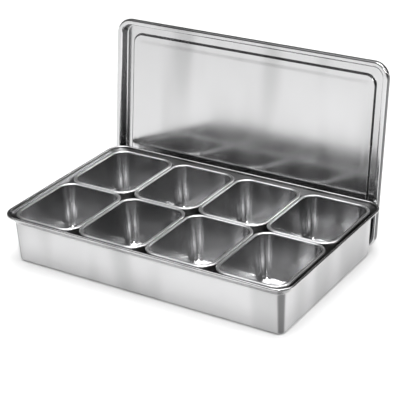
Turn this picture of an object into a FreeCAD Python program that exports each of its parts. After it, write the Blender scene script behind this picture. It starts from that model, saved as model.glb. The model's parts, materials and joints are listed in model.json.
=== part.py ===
"""Rectangular steel spice box: an open tray, eight loose pans standing in it, and a loose lid.

The row frame has its origin at the centre of the tray's flat bottom, +X along the box's length,
+Y towards the back, where the lid stands on its long edge, and +Z up. Sizes are millimetres.
"""
import FreeCAD, Part
import math
import os
import Sketcher

# Driving dimensions: cell alias, value, meaning.
DIMENSIONS = [
    ("tray_length", 330.0, "tray, over the rim, along X"),
    ("tray_width", 206.0, "tray, over the rim, along Y"),
    ("tray_height", 54.0, "tray, bottom to rim"),
    ("tray_corner", 18.0, "corner radius of the tray's rim"),
    ("tray_sheet", 1.0, "tray, sheet thickness"),
    ("tray_foot_inset", 10.2, "bottom edge of the wall, in from the rim"),
    ("tray_neck_inset", 8.0, "top of the wall under the flare, in from the rim"),
    ("tray_neck_height", 44.0, "height at which the wall flares out"),
    ("tray_foot_bend", 3.6, "outer bend radius from floor to wall"),
    ("tray_neck_bend", 5.0, "outer bend radius from wall to flare"),
    ("tray_lap", 14.2, "inner edge of the swept wall, in from the rim"),
    ("tray_lip", 2.6, "rolled lip, width and height"),
    ("tray_flare_end", 1.6, "outer end of the flare under the lip"),
    ("pan_length", 78.4, "pan, over the rim, along X"),
    ("pan_width", 95.5, "pan, over the rim, along Y"),
    ("pan_height", 51.0, "pan, bottom to rim"),
    ("pan_corner", 17.0, "corner radius of the pan's rim"),
    ("pan_sheet", 0.8, "pan, sheet thickness"),
    ("pan_foot_inset", 7.4, "bottom edge of the pan's wall, in from the rim"),
    ("pan_foot_bend", 7.0, "outer bend radius from floor to wall"),
    ("pan_lap", 15.0, "inner edge of the swept wall, in from the rim"),
    ("pan_lip", 2.6, "rolled lip, height"),
    ("pan_lip_inset", 2.7, "outer face of the wall under the lip"),
    ("pan_gap", 0.6, "free gap between two neighbouring pans"),
    ("lip_bend", 1.25, "edge radius of the rolled lips"),
    ("lid_end_gap", 0.6, "gap at each end between the lid and the tray's lip when closed"),
    ("lid_side_gap", 1.7, "gap at the front and back between the lid and the tray's lip when closed"),
    ("lid_corner", 17.0, "corner radius of the lid's rim"),
    ("lid_depth", 11.0, "lid, outside face to rim"),
    ("lid_sheet", 0.9, "lid, sheet thickness"),
    ("lid_rim_band", 6.0, "width of the lid's turned rim"),
    ("lid_rim_return", 4.8, "height of the turned rim's outer side"),
    ("lid_rim_bend", 2.1, "edge radius of the turned rim"),
    ("lid_foot_inset", 6.2, "outer face of the lid's wall at the border"),
    ("lid_foot_bend", 2.4, "outer bend radius from border to wall"),
    ("lid_lap", 14.0, "inner edge of the swept wall, in from the rim"),
    ("lid_border", 16.5, "edge of the pressed panel, in from the rim"),
    ("lid_panel_corner", 11.0, "corner radius of the pressed panel"),
    ("lid_panel_rise", 2.2, "how far the panel is pressed towards the inside"),
    ("lid_panel_edge", 0.8, "edge radius of the pressed panel"),
    ("lid_lean", 7.0, "how far the standing lid leans back, degrees"),
    ("lid_tuck", 6.0, "how far the lid's foot stands in under the tray's flare"),
    ("lid_shift", -5.3, "how far along X the lid stands from the tray's middle"),
    ("overlap", 0.5, "how far the floor plates run into the swept walls"),
]
COLUMNS = ("left", "mid_left", "mid_right", "right")
ROWS = ("front", "back")

document = FreeCAD.newDocument("spice_box")
sheet = document.addObject("Spreadsheet::Sheet", "dims")
for line, (alias, value, meaning) in enumerate(DIMENSIONS, start=1):
    sheet.set(f"A{line}", meaning)
    sheet.set(f"B{line}", str(value))
    sheet.setAlias(f"B{line}", alias)
document.recompute()


def size(alias):
    """The number in the sheet's cell of this alias."""
    return float(getattr(sheet, alias))


def new_sketch(body, name, role):
    """A sketch on one of the body's own origin planes."""
    plane = next(item for item in body.Origin.OriginFeatures if item.Role == role)
    sketch = body.newObject("Sketcher::SketchObject", name)
    sketch.AttachmentSupport = [(plane, "")]
    sketch.MapMode = "FlatFace"
    return sketch


def bend_geometry(before, corner, after, radius):
    """Where a bend leaves the two straight runs, its arc, and whether it turns left."""
    arriving = (corner - before).normalize()
    leaving = (after - corner).normalize()
    turn = arriving.getAngle(leaving)
    left = arriving.cross(leaving).z > 0
    tangent = radius * math.tan(turn / 2)
    start = corner - arriving * tangent
    end = corner + leaving * tangent
    side = 1 if left else -1
    centre = start + FreeCAD.Vector(-arriving.y, arriving.x, 0) * radius * side
    first, last = (start, end) if left else (end, start)
    circle = Part.Circle(centre, FreeCAD.Vector(0, 0, 1), radius)
    begin_angle = math.atan2(first.y - centre.y, first.x - centre.x)
    end_angle = math.atan2(last.y - centre.y, last.x - centre.x)
    if end_angle < begin_angle:
        end_angle += 2 * math.pi
    return start, end, Part.ArcOfCircle(circle, begin_angle, end_angle), left


def draw_outline(sketch, corners):
    """Close an outline through corners (across, up, bend radius), each an expression of the sheet.

    A construction point holds each corner; a bend is an arc tangent to the two straight runs.
    """
    count = len(corners)
    points = []
    for across, up, _ in corners:
        points.append(FreeCAD.Vector(float(sketch.evalExpression(across)),
                                     float(sketch.evalExpression(up)), 0))
    run_start = list(points)
    run_end = [points[(index + 1) % count] for index in range(count)]
    bends = {}
    for index, (_, _, bend) in enumerate(corners):
        if bend is None:
            continue
        radius = float(sketch.evalExpression(bend))
        start, end, arc, left = bend_geometry(
            points[index - 1], points[index], points[(index + 1) % count], radius)
        run_end[index - 1] = start
        run_start[index] = end
        bends[index] = (arc, left)
    runs = []
    for start, end in zip(run_start, run_end):
        runs.append(sketch.addGeometry(Part.LineSegment(start, end), False))
    for index, (across, up, bend) in enumerate(corners):
        before = runs[index - 1]
        after = runs[index]
        held = sketch.addGeometry(Part.Point(points[index]), True)
        bind(sketch, "DistanceX", (-1, 1, held, 1), points[index].x, f"across_{index}", across)
        bind(sketch, "DistanceY", (-1, 1, held, 1), points[index].y, f"up_{index}", up)
        if bend is None:
            sketch.addConstraint(Sketcher.Constraint("Coincident", before, 2, held, 1))
            sketch.addConstraint(Sketcher.Constraint("Coincident", after, 1, held, 1))
            continue
        arc, left = bends[index]
        curve = sketch.addGeometry(arc, False)
        near, far = (1, 2) if left else (2, 1)
        sketch.addConstraint(Sketcher.Constraint("Tangent", before, 2, curve, near))
        sketch.addConstraint(Sketcher.Constraint("Tangent", curve, far, after, 1))
        sketch.addConstraint(Sketcher.Constraint("PointOnObject", held, 1, before))
        sketch.addConstraint(Sketcher.Constraint("PointOnObject", held, 1, after))
        bind(sketch, "Radius", (curve,), arc.Radius, f"bend_{index}", bend)


def bind(sketch, kind, where, value, name, expression):
    """Add a dimension and tie it to the sheet."""
    index = sketch.addConstraint(Sketcher.Constraint(kind, *where, value))
    sketch.renameConstraint(index, name)
    sketch.setExpression(f"Constraints.{name}", expression)


def rounded_rectangle(length, width, radius, seam=False):
    """Corners of a rectangle about the origin; a seam point starts it halfway along the front."""
    right, left = f"({length}) / 2", f"-({length}) / 2"
    back, front = f"({width}) / 2", f"-({width}) / 2"
    corners = [(right, front, radius), (right, back, radius),
               (left, back, radius), (left, front, radius)]
    return [("0", front, None)] + corners if seam else corners


def swept_wall(body, length, width, radius, section):
    """Sweep a wall section, given in from the rim and up, round the rounded rim outline."""
    path = new_sketch(body, "RimPath", "XY_Plane")
    draw_outline(path, rounded_rectangle(length, width, radius, seam=True))
    profile = new_sketch(body, "WallSection", "YZ_Plane")
    draw_outline(profile, [(f"({inset}) - ({width}) / 2", up, bend) for inset, up, bend in section])
    document.recompute()
    wall = body.newObject("PartDesign::AdditivePipe", "Wall")
    wall.Profile = profile
    wall.Spine = (path, [f"Edge{number}" for number in range(1, len(path.Shape.Edges) + 1)])
    document.recompute()
    return wall


def plate(body, name, kind, outline, thickness, height="0", reverse=False):
    """Pad or pocket a rounded rectangle, starting at a height above the body's bottom."""
    sketch = new_sketch(body, f"{name}Outline", "XY_Plane")
    sketch.setExpression("AttachmentOffset.Base.z", height)
    draw_outline(sketch, outline)
    feature = body.newObject(f"PartDesign::{kind}", name)
    feature.Profile = sketch
    feature.setExpression("Length", thickness)
    feature.Reversed = reverse
    document.recompute()
    return feature


def inset_outline(length, width, radius, inset):
    """The same rounded rectangle, drawn in by an inset all round."""
    return rounded_rectangle(f"{length} - 2 * ({inset})", f"{width} - 2 * ({inset})",
                             f"{radius} - ({inset})")


def make_tray():
    """Drawn sheet tray: flat floor, slightly tapered wall, flared mouth and a rolled lip."""
    body = document.addObject("PartDesign::Body", "outer_tray")
    body.Label = "outer_tray"
    flare_angle = ("atan((dims.tray_neck_inset - dims.tray_flare_end)"
                   " / (dims.tray_height - dims.tray_lip - dims.tray_neck_height))")
    neck_rise = f"dims.tray_sheet * tan({flare_angle} / 2)"
    flare_run = "(dims.tray_neck_inset + dims.tray_sheet - dims.tray_lip)"
    lip_bottom = "dims.tray_height - dims.tray_lip"
    section = [
        ("dims.tray_lap", "0", None),
        ("dims.tray_lap", "dims.tray_sheet", None),
        ("dims.tray_foot_inset + dims.tray_sheet", "dims.tray_sheet",
         "dims.tray_foot_bend - dims.tray_sheet"),
        ("dims.tray_neck_inset + dims.tray_sheet", f"dims.tray_neck_height + {neck_rise}",
         "dims.tray_neck_bend + dims.tray_sheet"),
        ("dims.tray_lip", f"dims.tray_neck_height + {neck_rise} + {flare_run} / tan({flare_angle})",
         "dims.lip_bend"),
        ("dims.tray_lip", "dims.tray_height", "dims.lip_bend"),
        ("0", "dims.tray_height", "dims.lip_bend"),
        ("0", lip_bottom, "dims.lip_bend"),
        ("dims.tray_flare_end", lip_bottom, None),
        ("dims.tray_neck_inset", "dims.tray_neck_height", "dims.tray_neck_bend"),
        ("dims.tray_foot_inset", "0", "dims.tray_foot_bend"),
    ]
    swept_wall(body, "dims.tray_length", "dims.tray_width", "dims.tray_corner", section)
    floor = inset_outline("dims.tray_length", "dims.tray_width", "dims.tray_corner",
                          "dims.tray_lap - dims.overlap")
    plate(body, "Floor", "Pad", floor, "dims.tray_sheet")
    return body


def make_pan(label, column, row):
    """One loose drawn pan: flat floor, round bends, tapered wall and a rolled lip."""
    body = document.addObject("PartDesign::Body", label)
    body.Label = label
    inner_lip = "dims.pan_lip_inset + dims.pan_sheet"
    lip_bottom = "dims.pan_height - dims.pan_lip"
    section = [
        ("dims.pan_lap", "0", None),
        ("dims.pan_lap", "dims.pan_sheet", None),
        ("dims.pan_foot_inset + dims.pan_sheet", "dims.pan_sheet",
         "dims.pan_foot_bend - dims.pan_sheet"),
        (inner_lip, "dims.pan_height", "dims.lip_bend"),
        ("0", "dims.pan_height", "dims.lip_bend"),
        ("0", lip_bottom, "dims.lip_bend"),
        ("dims.pan_lip_inset", lip_bottom, None),
        ("dims.pan_foot_inset", "0", "dims.pan_foot_bend"),
    ]
    swept_wall(body, "dims.pan_length", "dims.pan_width", "dims.pan_corner", section)
    floor = inset_outline("dims.pan_length", "dims.pan_width", "dims.pan_corner",
                          "dims.pan_lap - dims.overlap")
    plate(body, "Floor", "Pad", floor, "dims.pan_sheet")
    body.setExpression("Placement.Base.x", f"({column} - 1.5) * (dims.pan_length + dims.pan_gap)")
    body.setExpression("Placement.Base.y", f"({row} - 0.5) * (dims.pan_width + dims.pan_gap)")
    body.setExpression("Placement.Base.z", "dims.tray_sheet")
    return body


def make_lid():
    """Drawn lid: turned rim, short wall, flat border and a panel pressed towards the inside.

    It is drawn lying on its outside face and then stood on its long edge behind the tray.
    """
    body = document.addObject("PartDesign::Body", "lid")
    body.Label = "lid"
    length = "dims.tray_length - 2 * (dims.tray_lip + dims.lid_end_gap)"
    width = "dims.tray_width - 2 * (dims.tray_lip + dims.lid_side_gap)"
    radius = "dims.lid_corner"
    rim_inside = "dims.lid_depth - dims.lid_sheet"
    inner_bend = "dims.lid_rim_bend - dims.lid_sheet"
    section = [
        ("dims.lid_lap", "0", None),
        ("dims.lid_lap", "dims.lid_sheet", None),
        ("dims.lid_foot_inset + dims.lid_sheet", "dims.lid_sheet",
         "dims.lid_foot_bend - dims.lid_sheet"),
        ("dims.lid_rim_band", "dims.lid_depth", "dims.lid_rim_bend"),
        ("0", "dims.lid_depth", "dims.lid_rim_bend"),
        ("0", "dims.lid_depth - dims.lid_rim_return", None),
        ("dims.lid_sheet", "dims.lid_depth - dims.lid_rim_return", None),
        ("dims.lid_sheet", rim_inside, inner_bend),
        ("dims.lid_rim_band - dims.lid_sheet", rim_inside, inner_bend),
        ("dims.lid_foot_inset", "0", "dims.lid_foot_bend"),
    ]
    swept_wall(body, length, width, radius, section)
    border = inset_outline(length, width, radius, "dims.lid_lap - dims.overlap")
    plate(body, "Border", "Pad", border, "dims.lid_sheet")
    panel = rounded_rectangle(f"{length} - 2 * dims.lid_border", f"{width} - 2 * dims.lid_border",
                              "dims.lid_panel_corner")
    raised = plate(body, "PanelRise", "Pad", panel, "dims.lid_panel_rise + dims.lid_sheet")
    volume_before = raised.Shape.Volume
    inside = "dims.lid_border + dims.lid_sheet"
    hollow = rounded_rectangle(f"{length} - 2 * ({inside})", f"{width} - 2 * ({inside})",
                               "dims.lid_panel_corner - dims.lid_sheet")
    recess = plate(body, "PanelRecess", "Pocket", hollow, "dims.lid_panel_rise", reverse=True)
    if recess.Shape.Volume >= volume_before:
        raise RuntimeError("the panel's recess cut nothing")
    panel_top = size("lid_panel_rise") + size("lid_sheet")
    edges = []
    for number, edge in enumerate(recess.Shape.Edges, start=1):
        box = edge.BoundBox
        if abs(box.ZMin - panel_top) < 1e-3 and abs(box.ZMax - panel_top) < 1e-3:
            edges.append(f"Edge{number}")
    rounding = body.newObject("PartDesign::Fillet", "PanelEdge")
    rounding.Base = (recess, edges)
    rounding.setExpression("Radius", "dims.lid_panel_edge")
    document.recompute()
    stand_lid(body)
    return body


def stand_lid(body):
    """Stand the lid on the ground plane on its long edge, leaning back, inside face forward."""
    turn = FreeCAD.Rotation(FreeCAD.Vector(1, 0, 0), 90 - size("lid_lean"))
    body.Placement = FreeCAD.Placement(FreeCAD.Vector(0, 0, 0), turn)
    document.recompute()
    reach = body.Shape.optimalBoundingBox()
    front = size("tray_width") / 2 - size("lid_tuck")
    lower_front = lowest_front(body, reach)
    body.Placement.Base = FreeCAD.Vector(size("lid_shift"), front - lower_front, -reach.ZMin)
    document.recompute()


def lowest_front(body, reach):
    """The smallest y of the lid's foot, its lowest few millimetres."""
    foot = Part.makeBox(2 * reach.XLength, 4 * reach.YLength, size("lid_depth") / 2,
                        FreeCAD.Vector(-reach.XLength, -2 * reach.YLength, reach.ZMin))
    return body.Shape.common(foot).optimalBoundingBox().YMin


def check_document():
    """Stop on any failed feature or any body without a valid solid."""
    for item in document.Objects:
        if "Invalid" in item.State or "Error" in item.State:
            raise RuntimeError(f"{item.Name} failed: {item.State}")
        if item.isDerivedFrom("Sketcher::SketchObject") and item.solve() != 0:
            raise RuntimeError(f"{item.Name} has no solution")
    for body in bodies:
        if body.Shape.isNull() or not body.Shape.isValid() or len(body.Shape.Solids) != 1:
            raise RuntimeError(f"{body.Label} is not one valid solid")


bodies = [make_tray()]
for row, row_name in enumerate(ROWS):
    for column, column_name in enumerate(COLUMNS):
        bodies.append(make_pan(f"pan_{row_name}_{column_name}", column, row))
bodies.append(make_lid())
document.recompute()
check_document()

os.makedirs("parts", exist_ok=True)
for body in bodies:
    body.Shape.exportStep(f"parts/{body.Label}.step")
    reach = body.Shape.optimalBoundingBox()
    print(f"{body.Label}: volume {body.Shape.Volume / 1000:.1f} cm3, "
          f"x {reach.XMin:.1f}..{reach.XMax:.1f}, y {reach.YMin:.1f}..{reach.YMax:.1f}, "
          f"z {reach.ZMin:.1f}..{reach.ZMax:.1f}")
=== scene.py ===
"""Steel spice box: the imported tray, pans and lid rebuilt as smooth pressed sheet, and the studio."""
import json
import math

import bmesh
import bpy
from mathutils import Matrix, Vector

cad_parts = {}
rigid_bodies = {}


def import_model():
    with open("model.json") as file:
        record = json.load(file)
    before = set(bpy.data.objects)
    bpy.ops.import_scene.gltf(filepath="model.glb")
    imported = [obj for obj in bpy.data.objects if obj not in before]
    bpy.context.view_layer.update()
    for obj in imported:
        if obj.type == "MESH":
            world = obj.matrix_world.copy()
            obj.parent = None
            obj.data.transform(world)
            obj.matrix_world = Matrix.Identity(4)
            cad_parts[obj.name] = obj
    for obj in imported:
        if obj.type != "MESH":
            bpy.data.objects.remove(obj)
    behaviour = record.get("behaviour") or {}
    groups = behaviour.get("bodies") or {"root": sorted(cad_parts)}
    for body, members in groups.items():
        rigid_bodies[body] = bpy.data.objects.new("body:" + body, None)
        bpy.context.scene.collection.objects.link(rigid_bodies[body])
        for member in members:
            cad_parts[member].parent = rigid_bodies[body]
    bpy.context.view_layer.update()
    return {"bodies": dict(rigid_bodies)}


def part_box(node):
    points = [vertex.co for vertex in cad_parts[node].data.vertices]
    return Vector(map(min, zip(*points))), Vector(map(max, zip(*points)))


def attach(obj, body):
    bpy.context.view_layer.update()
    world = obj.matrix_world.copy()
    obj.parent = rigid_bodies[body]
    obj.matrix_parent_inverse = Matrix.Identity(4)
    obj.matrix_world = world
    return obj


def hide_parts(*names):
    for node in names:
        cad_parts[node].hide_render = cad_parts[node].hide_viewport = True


MM = 0.001

# Outline resolution: segments in a corner's quarter turn and in the straight runs.
ARC_STEPS = 20
RUN_STEPS_X = 28
RUN_STEPS_Y = 20

# Camera, as seen from the tray's centre on the table (metres, degrees).
CAMERA_AZIMUTH = 33.0
CAMERA_ELEVATION = 25.7
CAMERA_ROLL = -2.0
CAMERA_DISTANCE = 1.3904
CAMERA_SIDE = 0.0064
CAMERA_LIFT = 0.0581
CAMERA_LENS = 122.2
SENSOR = 36.0

# Rim corner radii and the lid's lean, depth and panel inset, as the CAD pieces have them
# (millimetres, degrees). The panel inset runs from the rim to the middle of the panel's step.
TRAY_CORNER = 18.0
PAN_CORNER = 17.0
LID_CORNER = 17.0
LID_PANEL_CORNER = 11.0
LID_LEAN = 7.0
LID_DEPTH = 11.0
LID_PANEL_INSET = 16.5

# A face whose unit normal has more than this upright part belongs to a floor, not to a wall.
FLOOR_NORMAL = 0.5

# The pressed panel's slight bulge, which only the visual lid has (millimetres).
PANEL_CROWN = 0.35

# Steel grain: noise frequency along each axis (per metre), high across the grain's lines. The
# lines lie level round the tray and the pans, and along the length of the lid.
WALL_GRAIN = (30, 30, 600)
LID_GRAIN = (30, 600, 600)

# Waviness of the sheet: strength of the bump and its depth (metres).
WAVE_STRENGTH = 0.3
WAVE_DEPTH = 0.0002

# Surroundings: brightness at the horizon and overhead, the elevation above which it rises
# (degrees), and how strongly it gathers overhead.
HORIZON_LEVEL = 0.09
OVERHEAD_LEVEL = 4.7
HORIZON_DARK = 37.0
OVERHEAD_GATHER = 2.5

# Strip lights: their distance and length, and the point that they aim at (metres).
STRIP_DISTANCE = 1.6
STRIP_LENGTH = 0.6
STRIP_AIM = (0, 0, 0.03)

# Floor: how far it reaches each way, and how far it lies under the box (metres).
FLOOR_REACH = 20.0
FLOOR_GAP = 0.0002


# ---------------------------------------------------------------- outlines and pressed sheet

def arc_points(centre, radius, begin, end, steps):
    """Points along an arc in degrees, without its last point."""
    points = []
    for step in range(steps):
        angle = math.radians(begin + (end - begin) * step / steps)
        points.append((centre[0] + radius * math.cos(angle), centre[1] + radius * math.sin(angle)))
    return points


def run_points(start, end, steps):
    """Points along a straight run, without its last point."""
    return [(start[0] + (end[0] - start[0]) * step / steps,
             start[1] + (end[1] - start[1]) * step / steps) for step in range(steps)]


def rounded_loop(half_x, half_y, radius):
    """A rounded rectangle as a closed loop that starts in the middle of the front left corner."""
    half_arc = ARC_STEPS // 2
    cx, cy = half_x - radius, half_y - radius
    loop = arc_points((-cx, -cy), radius, 225, 270, half_arc)
    loop += run_points((-cx, -half_y), (cx, -half_y), RUN_STEPS_X)
    loop += arc_points((cx, -cy), radius, 270, 360, ARC_STEPS)
    loop += run_points((half_x, -cy), (half_x, cy), RUN_STEPS_Y)
    loop += arc_points((cx, cy), radius, 0, 90, ARC_STEPS)
    loop += run_points((cx, half_y), (-cx, half_y), RUN_STEPS_X)
    loop += arc_points((-cx, cy), radius, 90, 180, ARC_STEPS)
    loop += run_points((-half_x, cy), (-half_x, -cy), RUN_STEPS_Y)
    loop += arc_points((-cx, -cy), radius, 180, 225, half_arc)
    return loop


SIDE_X = ARC_STEPS + RUN_STEPS_X
SIDE_Y = ARC_STEPS + RUN_STEPS_Y
LOOP_COUNT = 2 * (SIDE_X + SIDE_Y)


def bent_path(corners, bend_steps=8):
    """Points along straight runs joined by round bends; corners are (inset, height, bend radius)."""
    path = []
    for index, (inset, height, radius) in enumerate(corners):
        here = Vector((inset, height))
        if not radius or index in (0, len(corners) - 1):
            path.append(tuple(here))
            continue
        arriving = (here - Vector(corners[index - 1][:2])).normalized()
        leaving = (Vector(corners[index + 1][:2]) - here).normalized()
        turn = arriving.angle_signed(leaving)
        tangent = radius * math.tan(abs(turn) / 2)
        start = here - arriving * tangent
        side = Vector((arriving.y, -arriving.x)) * math.copysign(1, turn)
        centre = start + side * radius
        for step in range(bend_steps + 1):
            swing = Matrix.Rotation(-turn * step / bend_steps, 2)
            path.append(tuple(centre + swing @ (start - centre)))
    return path


def fill_patch(boundary, verts, faces, height_at):
    """Fill a loop with a grid of quads blended from its four sides."""
    corner = [0, SIDE_X, SIDE_X + SIDE_Y, 2 * SIDE_X + SIDE_Y]
    at = [Vector(verts[index]) for index in boundary]

    def front(i):
        return at[i]

    def back(i):
        return at[(corner[3] - i) % LOOP_COUNT]

    def left(j):
        return at[(LOOP_COUNT - j) % LOOP_COUNT]

    def right(j):
        return at[corner[1] + j]

    grid = {}
    for i in range(SIDE_X + 1):
        for j in range(SIDE_Y + 1):
            if j == 0:
                grid[i, j] = boundary[i]
            elif i == SIDE_X:
                grid[i, j] = boundary[corner[1] + j]
            elif j == SIDE_Y:
                grid[i, j] = boundary[corner[3] - i]
            elif i == 0:
                grid[i, j] = boundary[(LOOP_COUNT - j) % LOOP_COUNT]
            else:
                u, v = i / SIDE_X, j / SIDE_Y
                point = (front(i) * (1 - v) + back(i) * v + left(j) * (1 - u) + right(j) * u
                         - at[0] * (1 - u) * (1 - v) - at[corner[1]] * u * (1 - v)
                         - at[corner[2]] * u * v - at[corner[3]] * (1 - u) * v)
                grid[i, j] = len(verts)
                verts.append((point.x, point.y, point.z + height_at(u, v)))
    for i in range(SIDE_X):
        for j in range(SIDE_Y):
            faces.append((grid[i, j], grid[i + 1, j], grid[i + 1, j + 1], grid[i, j + 1]))


def crown(height):
    """A shallow dome over a patch, flat along its edge."""
    return lambda u, v: height * (16 * u * (1 - u) * v * (1 - v)) ** 1.5


def pressed_sheet(name, loops, dome=0.0, finish=lambda face: 0):
    """A closed sheet body: loops from the inside floor over the rim to the outside floor.

    Each loop is (half length, half width, corner radius, height). The finish gives the number of
    a face's material slot.
    """
    verts, faces, rings = [], [], []
    for half_x, half_y, radius, height in loops:
        rings.append(list(range(len(verts), len(verts) + LOOP_COUNT)))
        verts += [(x, y, height) for x, y in rounded_loop(half_x, half_y, radius)]
    for inner, outer in zip(rings, rings[1:]):
        for index in range(LOOP_COUNT):
            after = (index + 1) % LOOP_COUNT
            faces.append((inner[index], inner[after], outer[after], outer[index]))
    fill_patch(rings[0], verts, faces, crown(dome))
    fill_patch(rings[-1], verts, faces, crown(dome))
    mesh = bpy.data.meshes.new(name)
    mesh.from_pydata(verts, [], faces)
    work = bmesh.new()
    work.from_mesh(mesh)
    bmesh.ops.recalc_face_normals(work, faces=work.faces)
    for face in work.faces:
        face.smooth = True
        face.material_index = finish(face)
    work.to_mesh(mesh)
    work.free()
    piece = bpy.data.objects.new(name, mesh)
    bpy.context.collection.objects.link(piece)
    weighted = piece.modifiers.new("flat_faces_stay_flat", "WEIGHTED_NORMAL")
    weighted.weight = 60
    weighted.keep_sharp = True
    return piece


def loops_from(path, half_x, half_y, corner):
    """Loops of a section path, whose points are (inset from the rim, height)."""
    return [(half_x - inset, half_y - inset, corner - inset, height) for inset, height in path]


def place(piece, matrix):
    """Move a piece's own vertices, so that its object stays at the origin."""
    piece.data.transform(matrix)
    piece.data.update()


# ---------------------------------------------------------------- pieces

def half_size(low, high):
    """Half the length and half the width of a box."""
    return (high.x - low.x) / 2, (high.y - low.y) / 2


def in_metres(section, bend_steps=8):
    """A section's bent path, from millimetres to metres."""
    return [(inset * MM, height * MM) for inset, height in bent_path(section, bend_steps)]


def make_tray():
    """The outer tray: flat floor, tapered wall, flared mouth, rolled lip."""
    low, high = (Vector(corner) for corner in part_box("outer_tray"))
    top = high.z / MM
    section = [
        (14.2, 1.0, 0), (11.2, 1.0, 2.6), (9.0, top - 9.6, 6.0), (2.6, top - 2.3, 1.4),
        (2.6, top, 1.28), (0.0, top, 1.28), (0.0, top - 2.6, 1.1), (1.7, top - 2.6, 0.3),
        (8.0, top - 10.0, 5.0), (10.2, 0.0, 3.6), (14.2, 0.0, 0),
    ]
    half_x, half_y = half_size(low, high)
    lip_width, lip_crest = 2.4 * MM, 0.6 * MM

    def finish(face):
        """Painted shade: a darker, duller finish covers everything inside the rolled lip."""
        middle, normal = face.calc_center_median(), face.normal
        upward, downward = normal.z > FLOOR_NORMAL, normal.z < -FLOOR_NORMAL
        inward = upward or not downward and normal.x * middle.x + normal.y * middle.y < 0
        beyond_lip = max(abs(middle.x) - half_x, abs(middle.y) - half_y) < -lip_width
        return 1 if middle.z < high.z - lip_crest and beyond_lip and inward else 0

    return pressed_sheet("tray_shell", loops_from(in_metres(section), half_x, half_y,
                                                  TRAY_CORNER * MM), finish=finish)


def make_pan(name):
    """One loose pan: flat floor, round bends, tapered wall, rolled rim."""
    low, high = (Vector(corner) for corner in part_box(name))
    tall = (high.z - low.z) / MM
    section = [
        (15.0, 0.8, 0), (8.2, 0.8, 6.2), (3.5, tall, 1.25), (0.0, tall, 1.25),
        (0.0, tall - 2.6, 1.1), (2.7, tall - 2.6, 0.35), (7.4, 0.0, 7.0), (15.0, 0.0, 0),
    ]
    # Above the first height the rim gets a painted highlight; below the second the outside gets
    # painted light.
    painted_highlight_above, painted_light_below = (tall - 1.3) * MM, (tall - 2.0) * MM

    def finish(face):
        """Painted highlight: the rolled rim gets a lighter finish. Painted light: the outside below it
        gets a paler finish, to lighten the shaded gaps between the pans.
        """
        middle, normal = face.calc_center_median(), face.normal
        upward, downward = normal.z > FLOOR_NORMAL, normal.z < -FLOOR_NORMAL
        outward = downward or not upward and normal.x * middle.x + normal.y * middle.y > 0
        if middle.z > painted_highlight_above:
            return 2
        return 1 if outward and middle.z < painted_light_below else 0

    pan = pressed_sheet(f"{name}_shell", loops_from(in_metres(section), *half_size(low, high),
                                                    PAN_CORNER * MM), finish=finish)
    place(pan, Matrix.Translation(((low.x + high.x) / 2, (low.y + high.y) / 2, low.z)))
    return pan


def make_lid():
    """The lid: turned rim, short wall, flat border and a panel pressed towards the inside.

    It is shaped lying on its outside face, then stood up, leaning back, in the CAD lid's box.
    """
    low, high = (Vector(corner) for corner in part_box("lid"))
    lean = math.radians(LID_LEAN)
    depth = LID_DEPTH * MM
    half_x = (high.x - low.x) / 2
    half_y = 0.5 * (high.z - low.z - depth * math.sin(lean)) / math.cos(lean)
    rim = [
        (9.6, 0.9, 0), (7.1, 0.9, 1.5), (6.0, LID_DEPTH, 2.1), (0.0, LID_DEPTH, 2.1), (0.0, 6.2, 0.3),
        (0.9, 6.2, 0.3), (0.9, 10.1, 1.2), (5.1, 10.1, 1.2), (6.2, 0.0, 2.4), (9.6, 0.0, 0),
    ]
    step = [(13.4, 0.9, 0.0), (15.6, 0.9, 0.5), (17.4, 3.1, 0.6), (22.0, 3.1, 0.0)]
    back_step = [(15.6, 0.0, 0.0), (17.4, 0.0, 0.6), (17.9, 2.2, 0.6), (22.0, 2.2, 0.0)]

    def panel_loops(path):
        """Loops of the panel's step, whose corners are rounder than the rim's at that inset."""
        loops = []
        for inset, height in in_metres(path, 6):
            radius = (LID_PANEL_CORNER + LID_PANEL_INSET) * MM - inset
            loops.append((half_x - inset, half_y - inset, radius, height))
        return loops

    loops = panel_loops(step)[::-1]
    loops += loops_from(in_metres(rim), half_x, half_y, LID_CORNER * MM)
    loops += panel_loops(back_step)

    def finish(face):
        """Painted shade: the inner skirt, the rim's outer side and the panel's step get darker
        finishes.
        """
        middle, normal = face.calc_center_median(), face.normal
        inset = min(half_x - abs(middle.x), half_y - abs(middle.y)) / MM
        height = middle.z / MM
        skirt = 1.6 < height < 9.4 and 4.0 < inset and normal.z > -0.3 and abs(normal.z) < 0.8
        outer_side = inset < 0.9 and height < 10.6
        panel_step = 1.0 < height < 3.0 and inset > 12.0 and 0.0 < normal.z < 0.9
        if panel_step:
            return 2
        return 1 if skirt or outer_side else 0

    lid = pressed_sheet("lid_shell", loops, dome=PANEL_CROWN * MM, finish=finish)
    place(lid, Matrix.Rotation(math.pi / 2 - lean, 4, "X"))
    corners = [vertex.co for vertex in lid.data.vertices]
    lowest = Vector([min(point[axis] for point in corners) for axis in range(3)])
    highest = Vector([max(point[axis] for point in corners) for axis in range(3)])
    place(lid, Matrix.Translation((low + high) / 2 - (lowest + highest) / 2))
    return lid


# ---------------------------------------------------------------- materials

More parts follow.
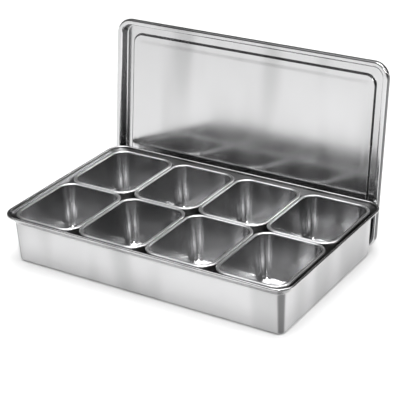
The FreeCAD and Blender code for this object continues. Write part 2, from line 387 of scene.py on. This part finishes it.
class Recipe:
    """Small helper that adds and links the nodes of one steel finish."""

    def __init__(self, name):
        self.material = bpy.data.materials.new(name)
        self.material.use_nodes = True
        self.nodes = self.material.node_tree.nodes
        self.links = self.material.node_tree.links
        self.shader = self.nodes["Principled BSDF"]
        self.where = self.nodes.new("ShaderNodeTexCoord").outputs["Object"]
        self.shape = self.nodes.new("ShaderNodeNewGeometry")

    def noise(self, frequency, detail):
        """Noise over the piece, with its frequency along each axis, per metre."""
        mapping = self.nodes.new("ShaderNodeMapping")
        mapping.inputs["Scale"].default_value = frequency
        self.links.new(self.where, mapping.inputs["Vector"])
        texture = self.nodes.new("ShaderNodeTexNoise")
        texture.inputs["Scale"].default_value = 1.0
        texture.inputs["Detail"].default_value = detail
        self.links.new(mapping.outputs["Vector"], texture.inputs["Vector"])
        return texture.outputs["Fac"]

    def spread(self, value, from_range, to_range):
        """Map a value smoothly from one range to another."""
        node = self.nodes.new("ShaderNodeMapRange")
        node.interpolation_type = "SMOOTHSTEP"
        node.inputs["From Min"].default_value, node.inputs["From Max"].default_value = from_range
        node.inputs["To Min"].default_value, node.inputs["To Max"].default_value = to_range
        self.links.new(value, node.inputs["Value"])
        return node.outputs["Result"]

    def math(self, operation, first, second):
        """Combine two values, or a value and a number."""
        node = self.nodes.new("ShaderNodeMath")
        node.operation = operation
        for socket, value in zip(node.inputs, (first, second)):
            if isinstance(value, (int, float)):
                socket.default_value = value
            else:
                self.links.new(value, socket)
        return node.outputs["Value"]

    def bump(self, height, strength, distance):
        """A bump from a height map; the distance is its depth in metres."""
        node = self.nodes.new("ShaderNodeBump")
        node.inputs["Strength"].default_value = strength
        node.inputs["Distance"].default_value = distance
        self.links.new(height, node.inputs["Height"])
        return node.outputs["Normal"]


def steel(name, base, roughness, grain_frequency, corner_shade=1.0, stretch=0.0):
    """Satin stainless steel: fine grain, uneven polish, random darker upright patches, slight
    waviness.

    The corner shade multiplies the colour where a wall turns a corner. The stretch draws
    highlights out across the grain, which runs level round the walls.
    """
    recipe = Recipe(name)
    shader = recipe.shader
    shader.inputs["Metallic"].default_value = 1.0
    shader.inputs["Anisotropic"].default_value = stretch
    shader.inputs["Anisotropic Rotation"].default_value = 0.25
    grain = recipe.noise(grain_frequency, 4.0)
    cloud = recipe.noise((30.0, 30.0, 18.0), 1.0)
    wave = recipe.noise((14.0, 14.0, 9.0), 1.0)
    upright_patches = recipe.noise((30.0, 30.0, 5.0), 0.0)

    split = recipe.nodes.new("ShaderNodeSeparateXYZ")
    recipe.links.new(recipe.shape.outputs["Normal"], split.inputs["Vector"])
    product = recipe.math("MULTIPLY", split.outputs["X"], split.outputs["Y"])
    slant = recipe.math("ABSOLUTE", product, 0.0)
    corner = recipe.math("POWER", recipe.spread(slant, (0.0, 0.5), (0.0, 1.0)), 3.0)

    # Colour darkened in random soft upright patches, and painted shade where a wall turns a corner.
    shade = recipe.spread(upright_patches, (0.28, 0.55), (0.78, 1.0))
    shade = recipe.math("MULTIPLY", shade, recipe.spread(corner, (0.0, 1.0), (1.0, corner_shade)))
    tint = recipe.nodes.new("ShaderNodeMix")
    tint.data_type = "RGBA"
    tint.inputs["A"].default_value = (0, 0, 0, 1)
    tint.inputs["B"].default_value = (*base, 1)
    recipe.links.new(shade, tint.inputs["Factor"])
    recipe.links.new(tint.outputs["Result"], shader.inputs["Base Color"])

    uneven = recipe.math("ADD", cloud, recipe.math("MULTIPLY", grain, 0.15))
    polish = recipe.spread(uneven, (0.35, 0.8), (roughness - 0.02, roughness + 0.03))
    recipe.links.new(polish, shader.inputs["Roughness"])

    ripple = recipe.bump(wave, WAVE_STRENGTH, WAVE_DEPTH)
    recipe.links.new(ripple, shader.inputs["Normal"])
    return recipe.material


# ---------------------------------------------------------------- studio

def round_spot(azimuth, elevation, distance):
    """A point round the box, with azimuth 0 in front of it and 90 to its right."""
    across, up = math.radians(azimuth), math.radians(elevation)
    return Vector((math.sin(across) * math.cos(up), -math.cos(across) * math.cos(up),
                   math.sin(up))) * distance


def strip_light(name, azimuth, elevation, width, power):
    """A narrow upright soft light, placed by azimuth and elevation and aimed at the box."""
    light = bpy.data.lights.new(name, "AREA")
    light.shape = "RECTANGLE"
    light.size, light.size_y = width, STRIP_LENGTH
    light.energy = power
    lamp = bpy.data.objects.new(name, light)
    lamp.location = round_spot(azimuth, elevation, STRIP_DISTANCE)
    lamp.rotation_euler = (Vector(STRIP_AIM) - lamp.location).to_track_quat("-Z", "Y").to_euler()
    bpy.context.collection.objects.link(lamp)


def make_floor():
    """A wide pale floor under the box."""
    mesh = bpy.data.meshes.new("studio_floor")
    corners = [(x * FLOOR_REACH, y * FLOOR_REACH, 0) for x, y in ((-1, -1), (1, -1), (1, 1), (-1, 1))]
    mesh.from_pydata(corners, [], [(0, 1, 2, 3)])
    floor = bpy.data.objects.new("studio_floor", mesh)
    floor.location.z = -FLOOR_GAP
    bpy.context.collection.objects.link(floor)
    paper = bpy.data.materials.new("pale_paper")
    paper.use_nodes = True
    shader = paper.node_tree.nodes["Principled BSDF"]
    shader.inputs["Base Color"].default_value = (0.9, 0.9, 0.9, 1)
    shader.inputs["Roughness"].default_value = 1.0
    shader.inputs["Specular IOR Level"].default_value = 0.0
    floor.data.materials.append(paper)


def make_camera():
    """The camera, set by azimuth, elevation, roll and its offset from the tray's centre."""
    azimuth = math.radians(CAMERA_AZIMUTH)
    back = round_spot(CAMERA_AZIMUTH, CAMERA_ELEVATION, 1.0)
    right = Vector((math.cos(azimuth), math.sin(azimuth), 0))
    up = back.cross(right)
    lens = bpy.data.cameras.new("camera")
    lens.lens, lens.sensor_width = CAMERA_LENS, SENSOR
    camera = bpy.data.objects.new("camera", lens)
    frame_axes = Matrix((right, up, back)).transposed().to_4x4()
    roll = Matrix.Rotation(math.radians(CAMERA_ROLL), 4, "Z")
    offset = Vector((CAMERA_SIDE, CAMERA_LIFT, 0))
    camera.matrix_world = Matrix.Translation(back * CAMERA_DISTANCE) @ frame_axes @ roll
    camera.matrix_world.translation += camera.matrix_world.to_3x3() @ offset
    bpy.context.collection.objects.link(camera)
    bpy.context.scene.camera = camera


def make_world():
    """Soft surroundings: bright overhead, dark towards the horizon."""
    world = bpy.data.worlds.new("studio")
    world.use_nodes = True
    nodes, links = world.node_tree.nodes, world.node_tree.links
    where = nodes.new("ShaderNodeTexCoord")
    split = nodes.new("ShaderNodeSeparateXYZ")
    links.new(where.outputs["Generated"], split.inputs["Vector"])
    rise = nodes.new("ShaderNodeMapRange")
    rise.interpolation_type = "SMOOTHSTEP"
    rise.inputs["From Min"].default_value = math.sin(math.radians(HORIZON_DARK))
    links.new(split.outputs["Z"], rise.inputs["Value"])
    gather = nodes.new("ShaderNodeMath")
    gather.operation = "POWER"
    gather.inputs[1].default_value = OVERHEAD_GATHER
    links.new(rise.outputs["Result"], gather.inputs[0])
    level = nodes.new("ShaderNodeMapRange")
    level.inputs["To Min"].default_value = HORIZON_LEVEL
    level.inputs["To Max"].default_value = OVERHEAD_LEVEL
    links.new(gather.outputs["Value"], level.inputs["Value"])
    links.new(level.outputs["Result"], nodes["Background"].inputs["Strength"])
    nodes["Background"].inputs["Color"].default_value = (1, 1, 1, 1)
    bpy.context.scene.world = world


# ---------------------------------------------------------------- assembly

def add_finishes(piece, finishes):
    """Give a piece its materials, in the order that its faces are numbered by."""
    for material in finishes:
        piece.data.materials.append(material)


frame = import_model()

tray_steel = steel("tray_satin_steel", (0.57, 0.57, 0.575), 0.24, WALL_GRAIN, 0.3, 0.5)
# Painted shade: the tray's inside is darker than its outside.
tray_shaded_inside = steel("tray_painted_shade_steel", (0.24, 0.24, 0.243), 0.30, WALL_GRAIN, 1.0, 0.5)
pan_steel = steel("pan_satin_steel", (0.66, 0.66, 0.665), 0.17, WALL_GRAIN, 1.0, 0.7)
# Painted highlight: the pan rim's finish is lighter than the pan's.
pan_highlight_rim = steel("pan_painted_highlight_steel", (0.92, 0.92, 0.925), 0.30, WALL_GRAIN)
# Painted light: the pan's outside is paler, to lighten the shaded gaps between the pans.
pan_lightened_outside = steel("pan_painted_light_steel", (0.70, 0.70, 0.705), 0.30, WALL_GRAIN, 1.0, 0.5)
lid_steel = steel("lid_satin_steel", (0.60, 0.60, 0.605), 0.15, LID_GRAIN)
# Painted shade: the lid's step and folds are darker than its panel.
lid_shaded_step = steel("lid_painted_step_shade_steel", (0.44, 0.44, 0.445), 0.25, LID_GRAIN)
lid_shaded_folds = steel("lid_painted_shade_steel", (0.15, 0.15, 0.152), 0.25, LID_GRAIN)

tray = make_tray()
add_finishes(tray, (tray_steel, tray_shaded_inside))
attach(tray, "outer_tray")
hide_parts("outer_tray")

for body in frame["bodies"]:
    if body.startswith("pan_"):
        pan = make_pan(body)
        add_finishes(pan, (pan_steel, pan_lightened_outside, pan_highlight_rim))
        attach(pan, body)
        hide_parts(body)

lid = make_lid()
add_finishes(lid, (lid_steel, lid_shaded_folds, lid_shaded_step))
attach(lid, "lid")
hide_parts("lid")

make_floor()
make_world()
make_camera()
strip_light("front_strip", CAMERA_AZIMUTH + 3, 38, 0.08, 9.0)
strip_light("right_strip", 97, 35, 0.04, 2.0)
bpy.context.scene.view_settings.view_transform = "Standard"
